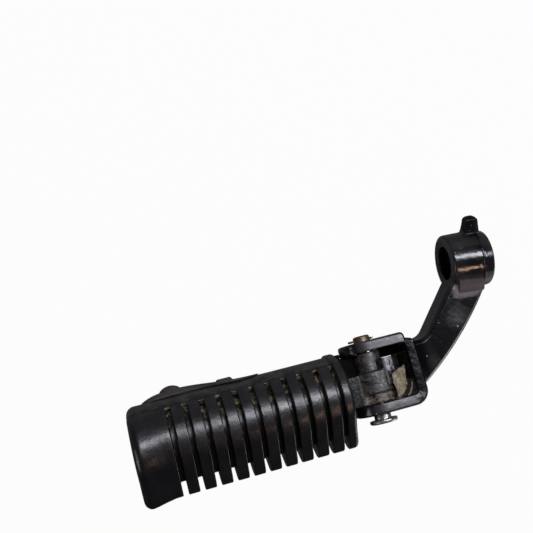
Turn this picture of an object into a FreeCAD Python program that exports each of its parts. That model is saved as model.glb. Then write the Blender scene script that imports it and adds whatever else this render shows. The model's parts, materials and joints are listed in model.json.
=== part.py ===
import FreeCAD, Part

import math
import os

import Sketcher
from FreeCAD import Placement, Rotation, Vector

# Folding rubber footpeg, right-hand side. The origin is the middle of the bore that the
# mounting bolt passes, +X points outboard along the bore, +Y forward and +Z up. The bracket
# frame stands on the middle of the pivot pin: its X runs out along the peg, its Z along the
# pin towards the pin head. The grip frame has the same origin and X, with Z square to the tread.

# Driving dimensions, in millimetres and degrees
SIZES = {
    "bore_dia": 16.0,
    "boss_length": 20.0,
    "boss_front_dia": 27.0,
    "boss_widest_dia": 28.0,
    "boss_rear_dia": 26.0,
    "parting_line": 4.5,
    "boss_edge_radius": 1.2,
    "lug_width": 5.6,
    "lug_thickness": 5.4,
    "lug_height": 7.5,
    "lug_setback": 4.0,
    "lug_angle": 200.0,
    "lug_radius": 2.4,
    "lug_flare": 1.2,
    "pin_outboard": 54.5,
    "pin_forward": 38.0,
    "pin_up": 29.0,
    "peg_rise": 6.5,
    "pin_tilt": 45.0,
    "arm_thickness": 16.0,
    "arm_bevel": 1.6,
    "arm_boss_inboard": 6.0,
    "arm_boss_outboard": 9.6,
    "arm_start_inboard": 12.5,
    "arm_start_outboard": 7.2,
    "arm_bow": 2.4,
    "saddle_radius": 10.0,
    "arm_neck_out": 28.0,
    "arm_root_above_pin": 6.0,
    "arm_root_below_pin": 14.3,
    "arm_root_radius": 7.0,
    "ear_gap": 24.6,
    "ear_reach": 11.9,
    "ear_width": 25.0,
    "ear_fold_radius": 12.3,
    "ear_corner_radius": 11.0,
    "ear_edge_radius": 1.2,
    "strap_thickness": 4.8,
    "web_reach": 16.2,
    "web_step": 1.0,
    "bend_outer_radius": 6.8,
    "bend_inner_radius": 2.0,
    "foot_edge_radius": 2.0,
    "pin_dia": 8.0,
    "pin_clearance": 0.1,
    "pin_head_dia": 13.2,
    "pin_head_height": 1.8,
    "pin_head_standoff": 2.8,
    "pin_end_standout": 3.0,
    "pin_end_chamfer": 0.6,
    "split_pin_dia": 2.0,
    "split_pin_clearance": 0.1,
    "split_pin_eye_radius": 1.0,
    "split_pin_neck_radius": 1.2,
    "split_pin_bend_radius": 0.7,
    "split_pin_spread": 2.4,
    "weld_radius": 1.4,
    "flange_radius": 11.0,
    "flange_height": 14.6,
    "flange_rim_height": 10.0,
    "flange_step": 1.2,
    "knuckle_clearance": 0.3,
    "knuckle_radius": 6.5,
    "heel_clearance": 0.2,
    "heel_low": 7.6,
    "heel_high": 5.0,
    "heel_far_side": 9.0,
    "heel_near_radius": 12.0,
    "heel_near_start": 3.5,
    "neck_width": 15.0,
    "neck_end": 17.0,
    "core_width": 20.0,
    "core_height": 16.0,
    "core_start": 14.2,
    "core_end_setback": 11.0,
    "grip_start": 14.0,
    "grip_length": 101.0,
    "grip_width": 38.0,
    "grip_offset": 7.0,
    "tread_height": 19.2,
    "seam_depth": 3.3,
    "shoulder_radius": 6.0,
    "belly_inset": 1.7,
    "collar_rise": 1.0,
    "collar_width": 4.7,
    "slot_count": 11,
    "end_block": 17.4,
    "slot_width": 2.4,
    "slot_depth": 4.7,
    "slot_inner_radius": 5.0,
    "cavity_clearance": 0.15,
    "end_radius": 4.0,
    "collar_radius": 2.0,
    "lip_rise": 4.4,
    "lip_length": 14.0,
    "plate_thickness": 1.1,
    "plate_seat_gap": 0.1,
    "plate_start_thickness": 0.6,
    "plate_start_setback": 63.5,
    "plate_end_setback": 5.5,
    "plate_edge_angle": 38.0,
    "plate_drop_mid": 2.9,
    "plate_drop_deep": 4.9,
    "plate_drop_front": 3.1,
    "screw_dia": 8.0,
    "screw_top": 6.0,
    "screw_clearance": 0.1,
    "sleeve_clearance": 0.5,
    "sensor_setback": 22.0,
    "sensor_dia": 15.0,
    "sensor_seat_drop": 2.9,
    "sensor_height": 7.2,
    "bolt_setback": 48.2,
    "bolt_head_flats": 12.0,
    "bolt_head_height": 3.2,
    "bolt_seat_drop": 0.3,
    "washer_dia": 15.0,
    "washer_thickness": 1.0,
}

# Places worked out from the sizes, as expressions of the sheet
EAR_IN = "Sizes.ear_gap / 2"
EAR_OUT = "(Sizes.ear_gap / 2 + Sizes.strap_thickness)"
WEB_IN = "-Sizes.web_reach"
WEB_OUT = "-(Sizes.web_reach + Sizes.strap_thickness)"
SPLIT_PIN_LEVEL = f"-({EAR_OUT} + Sizes.split_pin_clearance + Sizes.split_pin_dia / 2)"
PIN_REACH = "sqrt(Sizes.pin_forward ^ 2 + Sizes.pin_up ^ 2)"
KNUCKLE_TOP = "(Sizes.ear_gap / 2 - Sizes.knuckle_clearance)"
FLANGE_BOTTOM = "(Sizes.ear_gap / 2 - Sizes.knuckle_clearance - Sizes.flange_height)"
GRIP_NEAR = "(Sizes.grip_offset - Sizes.grip_width / 2)"
GRIP_FAR = "(Sizes.grip_offset + Sizes.grip_width / 2)"
GRIP_END = "(Sizes.grip_start + Sizes.grip_length)"
FIRST_SLOT = "(Sizes.grip_start + Sizes.collar_width)"
SLOT_ROW = "(Sizes.grip_length - Sizes.collar_width - Sizes.end_block - Sizes.slot_width)"
CORE_NEAR = "(Sizes.grip_offset - Sizes.core_width / 2)"
CORE_FAR = "(Sizes.grip_offset + Sizes.core_width / 2)"
CORE_END = f"({GRIP_END} - Sizes.core_end_setback)"
BELLY_RADIUS = "(Sizes.grip_width / 2 - Sizes.belly_inset)"
SHOE_LEVEL = f"(Sizes.seam_depth + {BELLY_RADIUS} + Sizes.plate_thickness)"
PLATE_START = f"({GRIP_END} - Sizes.plate_start_setback)"
PLATE_END = f"({GRIP_END} - Sizes.plate_end_setback)"
SENSOR_PLACE = f"({GRIP_END} - Sizes.sensor_setback)"
SENSOR_SEAT = f"({SHOE_LEVEL} + Sizes.sensor_seat_drop)"
SENSOR_REACH = f"({SENSOR_SEAT} + Sizes.sensor_height)"
BOLT_PLACE = f"({GRIP_END} - Sizes.bolt_setback)"
BOLT_SEAT = f"({SHOE_LEVEL} + Sizes.bolt_seat_drop)"

doc = FreeCAD.newDocument("Footpeg")
sheet = doc.addObject("Spreadsheet::Sheet", "Sizes")
for row, (alias, value) in enumerate(SIZES.items(), start=1):
    sheet.set(f"A{row}", alias.replace("_", " "))
    sheet.set(f"B{row}", str(value))
    sheet.setAlias(f"B{row}", alias)
doc.recompute()


def at(expression):
    """The value of an expression of the sheet's sizes."""
    return float(sheet.evalExpression(str(expression)))


PIN_PLACE = Vector(at("Sizes.pin_outboard"), at("Sizes.pin_forward"), at("Sizes.pin_up"))
RISE = Rotation(Vector(0, 1, 0), -at("Sizes.peg_rise"))
TILT = Rotation(Vector(1, 0, 0), -at("Sizes.pin_tilt"))
GRIP_FRAME = Placement(PIN_PLACE, RISE)
BRACKET_FRAME = Placement(PIN_PLACE, RISE.multiply(TILT))
MOUNT_FRAME = Placement()


# Modelling helpers
def new_body(label, frame):
    """An empty sub-part that stands in the given frame."""
    body = doc.addObject("PartDesign::Body", label)
    body.Label = label
    body.Placement = frame
    return body


def new_sketch(body, name, role, offset=None):
    """A sketch on one of the body's own origin planes."""
    sketch = body.newObject("Sketcher::SketchObject", name)
    plane = next(item for item in body.Origin.OriginFeatures if item.Role == role)
    sketch.AttachmentSupport = (plane, [""])
    sketch.MapMode = "FlatFace"
    if offset is not None:
        sketch.AttachmentOffset = offset
    return sketch


def lift(sketch, height):
    """Move a sketch along its own normal by an expression of the sizes."""
    sketch.setExpression("AttachmentOffset.Base.z", height)


def bind(sketch, constraint, expression):
    """Add a dimension to a sketch and tie it to an expression."""
    index = sketch.addConstraint(constraint)
    sketch.setExpression(f"Constraints[{index}]", expression)


def hold_point(sketch, curve, end, x, y):
    """Tie one point of a curve to its place from the sketch's origin."""
    bind(sketch, Sketcher.Constraint("DistanceX", -1, 1, curve, end, at(x)), x)
    bind(sketch, Sketcher.Constraint("DistanceY", -1, 1, curve, end, at(y)), y)


def outline(sketch, corners, closed=True):
    """Lines through the corners; a corner's third value bows the line after it to the right."""
    places = [Vector(at(corner[0]), at(corner[1]), 0) for corner in corners]
    first = sketch.GeometryCount
    count = len(corners)
    sides = count if closed else count - 1
    starts = []
    for index in range(sides):
        start = places[index]
        end = places[(index + 1) % count]
        if len(corners[index]) == 2:
            sketch.addGeometry(Part.LineSegment(start, end), False)
            starts.append(1)
            continue
        run = end - start
        outward = Vector(run.y, -run.x, 0).normalize()
        top = (start + end) * 0.5 + outward * at(corners[index][2])
        arc = sketch.addGeometry(Part.Arc(start, top, end), False)
        gap = sketch.getPoint(arc, 1).distanceToPoint(start)
        starts.append(1 if gap < sketch.getPoint(arc, 2).distanceToPoint(start) else 2)
    for index in range(sides):
        hold_point(sketch, first + index, starts[index], corners[index][0], corners[index][1])
        following = (index + 1) % count
        if following < sides:
            joint = (first + index, 3 - starts[index], first + following, starts[following])
            sketch.addConstraint(Sketcher.Constraint("Coincident", *joint))
        else:
            hold_point(sketch, first + index, 3 - starts[index], corners[following][0], corners[following][1])
        if len(corners[index]) == 3:
            here = corners[index]
            there = corners[following]
            sag = f"abs({here[2]})"
            chord = f"((({there[0]}) - ({here[0]})) ^ 2 + (({there[1]}) - ({here[1]})) ^ 2)"
            radius = f"({chord} / 4 + {sag} ^ 2) / (2 * {sag})"
            bind(sketch, Sketcher.Constraint("Radius", first + index, at(radius)), radius)


def rectangle(sketch, left, bottom, right, top):
    """A closed rectangle between two corners."""
    outline(sketch, [(left, bottom), (right, bottom), (right, top), (left, top)])


def circle(sketch, x, y, radius):
    """A circle about a point."""
    curve = sketch.addGeometry(Part.Circle(Vector(at(x), at(y), 0), Vector(0, 0, 1), at(radius)), False)
    hold_point(sketch, curve, 3, x, y)
    bind(sketch, Sketcher.Constraint("Radius", curve, at(radius)), radius)


def bow(sketch, half_width, side_height, depth, middle):
    """A chord closed by the arc that reaches a given height over or under its middle."""
    left = f"{middle} - {half_width}"
    right = f"{middle} + {half_width}"
    outline(sketch, [(left, side_height, f"({side_height}) - ({depth})"), (right, side_height)])


def extrude(body, kind, name, sketch, length, both=False, back=False):
    """A Pad or a Pocket of a sketch, one way or to both sides."""
    feature = body.newObject(f"PartDesign::{kind}", name)
    feature.Profile = sketch
    feature.setExpression("Length", length)
    feature.Midplane = both
    feature.Reversed = back
    doc.recompute()
    return feature


def turn(body, name, sketch, axis):
    """A full revolution of a sketch about one of its own axes."""
    feature = body.newObject("PartDesign::Revolution", name)
    feature.Profile = sketch
    feature.ReferenceAxis = (sketch, [axis])
    feature.Angle = 360.0
    doc.recompute()
    return feature


def loft(body, name, stations):
    """A loft through bows that stand across the grip at the given places along it."""
    sections = []
    for number, (place, half_width, side_height, depth) in enumerate(stations, start=1):
        section = new_sketch(body, f"{name}Section{number}", "YZ_Plane")
        lift(section, place)
        bow(section, half_width, side_height, depth, "Sizes.grip_offset")
        sections.append(section)
    doc.recompute()
    feature = body.newObject("PartDesign::AdditiveLoft", name)
    feature.Profile = sections[0]
    feature.Sections = sections[1:]
    doc.recompute()
    return feature


def edges_of(feature, wanted):
    """The names of a feature's edges that answer a test."""
    names = []
    for number, edge in enumerate(feature.Shape.Edges, start=1):
        if wanted(edge):
            names.append(f"Edge{number}")
    return names


def middle_of(edge):
    """The point half-way along an edge."""
    return edge.valueAt((edge.FirstParameter + edge.LastParameter) / 2)


def runs_along(edge, axis):
    """Whether an edge is straight and parallel to an axis."""
    if len(edge.Vertexes) < 2 or not isinstance(edge.Curve, Part.Line):
        return False
    return abs(edge.tangentAt(edge.FirstParameter).dot(axis)) > 0.9999


def dress(body, kind, name, base, wanted, value):
    """A Fillet or a Chamfer on the edges that answer a test."""
    feature = body.newObject(f"PartDesign::{kind}", name)
    feature.Base = (base, edges_of(base, wanted))
    feature.setExpression("Radius" if kind == "Fillet" else "Size", value)
    doc.recompute()
    return feature


X_AXIS = Vector(1, 0, 0)
Y_AXIS = Vector(0, 1, 0)
Z_AXIS = Vector(0, 0, 1)
NEAR = 0.05


def close(value, target, room=NEAR):
    """Whether two sizes agree within a small room."""
    return abs(value - target) < room


def build_support_arm():
    """Forged arm from the bolt boss to the back of the clevis, with its stop lug."""
    body = new_body("support_arm", MOUNT_FRAME)
    lean = math.degrees(math.atan2(at("Sizes.pin_up"), at("Sizes.pin_forward")))
    arm_plane = Placement(Vector(), Rotation(X_AXIS, lean))

    blade = new_sketch(body, "ArmOutline", "XY_Plane", arm_plane)
    root_out = "Sizes.pin_outboard"
    outline(blade, [
        ("-Sizes.arm_boss_inboard", "0"),
        ("-Sizes.arm_boss_inboard", "Sizes.arm_start_inboard", "-Sizes.arm_bow"),
        (f"{root_out} - Sizes.web_reach - 1.6 * Sizes.strap_thickness", f"{PIN_REACH} + Sizes.arm_root_above_pin"),
        (root_out, f"{PIN_REACH} + Sizes.arm_root_above_pin"),
        (root_out, f"{PIN_REACH} - Sizes.arm_root_below_pin"),
        ("Sizes.arm_neck_out", f"{PIN_REACH} - Sizes.arm_root_below_pin"),
        ("Sizes.arm_boss_outboard", "Sizes.arm_start_outboard"),
        ("Sizes.arm_boss_outboard", "0"),
    ])
    blade_pad = extrude(body, "Pad", "ArmBlade", blade, "Sizes.arm_thickness", both=True)

    # The concave turn into the root is rounded, then both faces are bevelled all round
    across = arm_plane.Rotation.multVec(Z_AXIS)
    neck = Vector(at("Sizes.arm_neck_out"), at(f"{PIN_REACH} - Sizes.arm_root_below_pin"), 0)
    neck = arm_plane.multVec(neck)

    def at_neck(edge):
        gap = middle_of(edge) - neck
        return runs_along(edge, across) and gap.Length < 1.0

    rounded = dress(body, "Fillet", "NeckRound", blade_pad, at_neck, "Sizes.arm_root_radius")
    half = at("Sizes.arm_thickness") / 2

    def on_face(edge):
        ends = [arm_plane.inverse().multVec(vertex.Point).z for vertex in edge.Vertexes]
        return close(abs(ends[0]), half) and close(ends[0], ends[-1])

    dress(body, "Chamfer", "ArmBevels", rounded, on_face, "Sizes.arm_bevel")

    # The root is cut off flat against the back of the clevis web
    back_plane = BRACKET_FRAME.multiply(Placement(Vector(at(WEB_OUT), 0, 0), Rotation(Y_AXIS, 90)))
    trim = new_sketch(body, "RootCut", "XY_Plane", back_plane)
    reach = "3 * Sizes.ear_gap"
    rectangle(trim, f"-{reach}", f"-{reach}", reach, reach)
    extrude(body, "Pocket", "RootFace", trim, "Sizes.pin_outboard", back=True)

    # Hollow fillets lead the arm's two faces into the boss
    ring = "(Sizes.boss_front_dia / 2)"
    hollow = "Sizes.saddle_radius"
    face = "(Sizes.arm_thickness / 2)"
    run = f"sqrt(({ring} + {hollow}) ^ 2 - ({face} + {hollow}) ^ 2)"
    touch_y = f"{run} * {ring} / ({ring} + {hollow})"
    touch_z = f"({face} + {hollow}) * {ring} / ({ring} + {hollow})"
    spread = f"(({run} - {touch_y}) ^ 2 + ({touch_z} - {face}) ^ 2)"
    sag = f"({hollow} - sqrt({hollow} ^ 2 - {spread} / 4))"
    saddle = new_sketch(body, "SaddleOutline", "YZ_Plane", Placement(Vector(), Rotation(Z_AXIS, lean)))
    lift(saddle, "Sizes.arm_bevel - Sizes.arm_boss_inboard")
    outline(saddle, [
        (touch_y, touch_z, f"-{sag}"),
        (run, face),
        (run, f"-{face}", f"-{sag}"),
        (touch_y, f"-{touch_z}"),
    ])
    extrude(body, "Pad", "Saddle", saddle, "Sizes.arm_boss_inboard + Sizes.arm_boss_outboard - 2 * Sizes.arm_bevel")

    # The boss is widest at the forging's parting line
    boss = new_sketch(body, "BossProfile", "XZ_Plane")
    half_length = "Sizes.boss_length / 2"
    outline(boss, [
        (f"-{half_length}", "0"),
        (half_length, "0"),
        (half_length, "Sizes.boss_front_dia / 2"),
        ("-Sizes.parting_line", "Sizes.boss_widest_dia / 2"),
        (f"-{half_length}", "Sizes.boss_rear_dia / 2"),
    ])
    boss_turn = turn(body, "Boss", boss, "H_Axis")

    def boss_rim(edge):
        if not isinstance(edge.Curve, Part.Circle):
            return False
        return close(abs(edge.Curve.Center.x), at(half_length)) and edge.Curve.Radius > at("Sizes.bore_dia") / 2

    dress(body, "Fillet", "BossEdges", boss_turn, boss_rim, "Sizes.boss_edge_radius")

    # The stop lug stands out of the boss and flares into it on the outboard side
    lug_plane = Placement(Vector(), Rotation(X_AXIS, at("Sizes.lug_angle") - 90.0))
    lug_reach = "Sizes.boss_widest_dia / 2 + Sizes.lug_height"
    lug_sections = []
    for name, height, flare in (
        ("LugFoot", "Sizes.bore_dia / 2 + Sizes.lug_radius", "2 * Sizes.lug_flare"),
        ("LugRoot", "Sizes.boss_widest_dia / 2", "Sizes.lug_flare"),
        ("LugHead", lug_reach, "0"),
    ):
        section = new_sketch(body, name, "XY_Plane", lug_plane)
        section.AttachmentOffset = lug_plane.multiply(Placement(Vector(0, 0, at(height)), Rotation()))
        rectangle(
            section,
            "-Sizes.lug_setback - Sizes.lug_width / 2", f"-Sizes.lug_thickness / 2 - {flare}",
            f"-Sizes.lug_setback + Sizes.lug_width / 2 + {flare}", f"Sizes.lug_thickness / 2 + {flare}",
        )
        lug_sections.append(section)
    doc.recompute()
    lug = body.newObject("PartDesign::AdditiveLoft", "StopLug")
    lug.Profile = lug_sections[0]
    lug.Sections = lug_sections[1:]
    doc.recompute()

    def on_lug_top(edge):
        return close(lug_plane.inverse().multVec(middle_of(edge)).z, at(lug_reach))

    dress(body, "Fillet", "LugTop", lug, on_lug_top, "Sizes.lug_radius")

    bore = new_sketch(body, "BoreCircle", "YZ_Plane")
    circle(bore, "0", "0", "Sizes.bore_dia / 2")
    extrude(body, "Pocket", "Bore", bore, "2 * Sizes.boss_length", both=True)
    return body


def build_clevis_bracket():
    """Bent strap whose two ears hold the pivot pin."""
    body = new_body("clevis_bracket", BRACKET_FRAME)
    strap = new_sketch(body, "StrapProfile", "XZ_Plane")
    outline(strap, [
        ("Sizes.ear_reach", EAR_IN),
        ("Sizes.ear_reach", EAR_OUT),
        (WEB_OUT, EAR_OUT),
        (WEB_OUT, f"-{EAR_IN}"),
        (f"{WEB_IN} - Sizes.web_step", f"-{EAR_IN}"),
        (f"{WEB_IN} - Sizes.web_step / 2", f"-{EAR_OUT}"),
        ("Sizes.ear_reach", f"-{EAR_OUT}"),
        ("Sizes.ear_reach", f"-{EAR_IN}"),
        (WEB_IN, f"-{EAR_IN}"),
        (WEB_IN, EAR_IN),
    ])
    pad = extrude(body, "Pad", "Strap", strap, "Sizes.ear_width", both=True)

    def bend_edge(edge, x, z):
        middle = middle_of(edge)
        return runs_along(edge, Y_AXIS) and close(middle.x, x) and close(middle.z, z)

    outer = dress(
        body, "Fillet", "OuterBend", pad,
        lambda edge: bend_edge(edge, at(WEB_OUT), at(EAR_OUT)), "Sizes.bend_outer_radius")
    inner = dress(
        body, "Fillet", "InnerBends", outer,
        lambda edge: bend_edge(edge, at(WEB_IN), at(EAR_IN)) or bend_edge(edge, at(WEB_IN), -at(EAR_IN)),
        "Sizes.bend_inner_radius")

    def ear_corner(edge, side):
        middle = middle_of(edge)
        at_end = close(middle.x, at("Sizes.ear_reach"))
        return runs_along(edge, Z_AXIS) and at_end and close(middle.y, side * at("Sizes.ear_width") / 2)

    folded = dress(
        body, "Fillet", "FoldCorners", inner, lambda edge: ear_corner(edge, -1), "Sizes.ear_fold_radius")
    far = dress(
        body, "Fillet", "FarCorners", folded, lambda edge: ear_corner(edge, 1), "Sizes.ear_corner_radius")
    footed = dress(
        body, "Fillet", "FootEdge", far,
        lambda edge: bend_edge(edge, at(f"{WEB_IN} - Sizes.web_step / 2"), -at(EAR_OUT)), "Sizes.foot_edge_radius")

    def on_ear_face(edge):
        ends = [vertex.Point for vertex in edge.Vertexes] + [middle_of(edge)]
        on_face = all(close(abs(point.z), at(EAR_OUT)) for point in ends)
        return on_face and middle_of(edge).x > at("-Sizes.web_reach / 2")

    dress(body, "Fillet", "EarEdges", footed, on_ear_face, "Sizes.ear_edge_radius")

    hole = new_sketch(body, "PinHoleCircle", "XY_Plane")
    circle(hole, "0", "0", "Sizes.pin_dia / 2 + Sizes.pin_clearance")
    extrude(body, "Pocket", "PinHoles", hole, "2 * Sizes.ear_gap", both=True)
    return body


def build_pivot_pin():
    """Headed hinge pin with a cross hole for the split pin."""
    body = new_body("pivot_pin", BRACKET_FRAME)
    profile = new_sketch(body, "PinProfile", "XZ_Plane")
    radius = "Sizes.pin_dia / 2"
    head = "Sizes.pin_head_dia / 2"
    low = f"-({EAR_OUT} + Sizes.pin_end_standout)"
    under_head = f"({EAR_OUT} + Sizes.pin_head_standoff)"
    top = f"({under_head} + Sizes.pin_head_height)"
    cut = "Sizes.pin_end_chamfer"
    outline(profile, [
        ("0", low),
        (f"{radius} - {cut}", low),
        (radius, f"{low} + {cut}"),
        (radius, under_head),
        (head, under_head),
        (head, f"{top} - {cut}"),
        (f"{head} - {cut}", top),
        ("0", top),
    ])
    turn(body, "Pin", profile, "V_Axis")
    cross = new_sketch(body, "CrossHoleCircle", "YZ_Plane")
    circle(cross, "0", SPLIT_PIN_LEVEL, "Sizes.split_pin_dia / 2 + Sizes.split_pin_clearance")
    extrude(body, "Pocket", "CrossHole", cross, "2 * Sizes.pin_dia", both=True)
    return body


def build_split_pin():
    """Folded wire through the pin: an eye outboard and two legs spread inboard."""
    body = new_body("split_pin", BRACKET_FRAME)
    wire = "Sizes.split_pin_dia / 4"
    leg = "(Sizes.split_pin_dia / 4 + Sizes.split_pin_clearance / 2)"
    eye = "Sizes.split_pin_eye_radius"
    neck = "Sizes.split_pin_neck_radius"
    entry = "(Sizes.pin_dia / 2 + Sizes.split_pin_clearance)"
    reach = f"({neck} + {eye})"
    across = f"({leg} + {neck})"
    eye_run = f"sqrt({reach} ^ 2 - {across} ^ 2)"
    touch_x = f"({entry} + {eye_run} * {neck} / {reach})"
    touch_y = f"({across} * {eye} / {reach})"
    neck_sag = f"({neck} - {neck} * sqrt((1 + {across} / {reach}) / 2))"
    eye_sag = f"({eye} + {eye_run} * {eye} / {reach})"
    bend = "Sizes.split_pin_bend_radius"
    tip_x = f"-({entry} + {bend})"
    bend_sag = f"({bend} * (1 - sqrt(0.5)))"
    path = new_sketch(body, "WirePath", "XY_Plane")
    lift(path, SPLIT_PIN_LEVEL)
    outline(path, [
        (tip_x, "Sizes.split_pin_spread"),
        (tip_x, f"{leg} + {bend}", bend_sag),
        (f"-{entry}", leg),
        (entry, leg, neck_sag),
        (touch_x, touch_y, f"-{eye_sag}"),
        (touch_x, f"-{touch_y}", neck_sag),
        (entry, f"-{leg}"),
        (f"-{entry}", f"-{leg}", bend_sag),
        (tip_x, f"-{leg} - {bend}"),
        (tip_x, "-Sizes.split_pin_spread"),
    ], closed=False)
    section = new_sketch(body, "WireCircle", "XZ_Plane")
    lift(section, "-Sizes.split_pin_spread")
    circle(section, tip_x, SPLIT_PIN_LEVEL, wire)
    doc.recompute()
    pipe = body.newObject("PartDesign::AdditivePipe", "Wire")
    pipe.Profile = section
    pipe.Spine = path
    doc.recompute()
    return body


def build_knuckle_bar():
    """Forged knuckle that turns on the pin, its stop heel, and the bar inside the grip."""
    body = new_body("knuckle_bar", BRACKET_FRAME)
    flange = new_sketch(body, "FlangeCircle", "XY_Plane")
    lift(flange, FLANGE_BOTTOM)
    circle(flange, "0", "0", "Sizes.flange_radius")
    extrude(body, "Pad", "Flange", flange, "Sizes.flange_rim_height")
    hub = new_sketch(body, "HubCircle", "XY_Plane")
    lift(hub, FLANGE_BOTTOM)
    circle(hub, "0", "0", "Sizes.flange_radius - Sizes.flange_step")
    extrude(body, "Pad", "Hub", hub, "Sizes.flange_height")

    barrel = new_sketch(body, "BarrelCircle", "XY_Plane")
    lift(barrel, f"-{KNUCKLE_TOP}")
    circle(barrel, "0", "0", "Sizes.knuckle_radius")
    extrude(body, "Pad", "Barrel", barrel, f"{FLANGE_BOTTOM} + {KNUCKLE_TOP}")

    # The heel's far side meets the web at rest; its near side is round so that the peg can fold
    heel = new_sketch(body, "HeelOutline", "XY_Plane")
    lift(heel, "-Sizes.heel_low")
    end = f"{WEB_IN} + Sizes.heel_clearance"
    near = "Sizes.heel_near_radius"
    root = "Sizes.heel_near_start"
    outline(heel, [
        ("0", "0"),
        (f"-{root}", f"-sqrt({near} ^ 2 - {root} ^ 2)", f"-({near} - sqrt({near} * ({near} + {root}) / 2))"),
        (f"-{near}", "0"),
        (end, "Sizes.heel_far_side * 0.3"),
        (end, "Sizes.heel_far_side"),
        ("0", "Sizes.heel_far_side"),
    ])
    extrude(body, "Pad", "Heel", heel, "Sizes.heel_low + Sizes.heel_high")

    neck = new_sketch(body, "NeckOutline", "YZ_Plane")
    rectangle(neck, "-Sizes.neck_width / 2", FLANGE_BOTTOM, "Sizes.neck_width / 2", KNUCKLE_TOP)
    extrude(body, "Pad", "Neck", neck, "Sizes.neck_end")

    # The bar lies square to the tread, so its section is turned back by the pin's tilt
    section = Placement(Vector(), Rotation(Z_AXIS, at("Sizes.pin_tilt")))
    core = new_sketch(body, "CoreOutline", "YZ_Plane", section)
    lift(core, "Sizes.core_start")
    rectangle(core, CORE_NEAR, "-Sizes.core_height / 2", CORE_FAR, "Sizes.core_height / 2")
    extrude(body, "Pad", "CoreBar", core, f"{CORE_END} - Sizes.core_start")

    # Tapped holes for the two screws, from below
    below = Placement(Vector(), Rotation(X_AXIS, at("Sizes.pin_tilt")))
    holes = new_sketch(body, "ScrewHoleCircles", "XY_Plane", below)
    for place in (SENSOR_PLACE, BOLT_PLACE):
        circle(holes, place, "Sizes.grip_offset", "Sizes.screw_dia / 2 + Sizes.screw_clearance")
    extrude(body, "Pocket", "ScrewHoles", holes, "2 * Sizes.core_height", both=True)

    bore = new_sketch(body, "PinBoreCircle", "XY_Plane")
    circle(bore, "0", "0", "Sizes.pin_dia / 2 + Sizes.pin_clearance")
    extrude(body, "Pocket", "PinBore", bore, "2 * Sizes.ear_gap", both=True)
    return body


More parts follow.
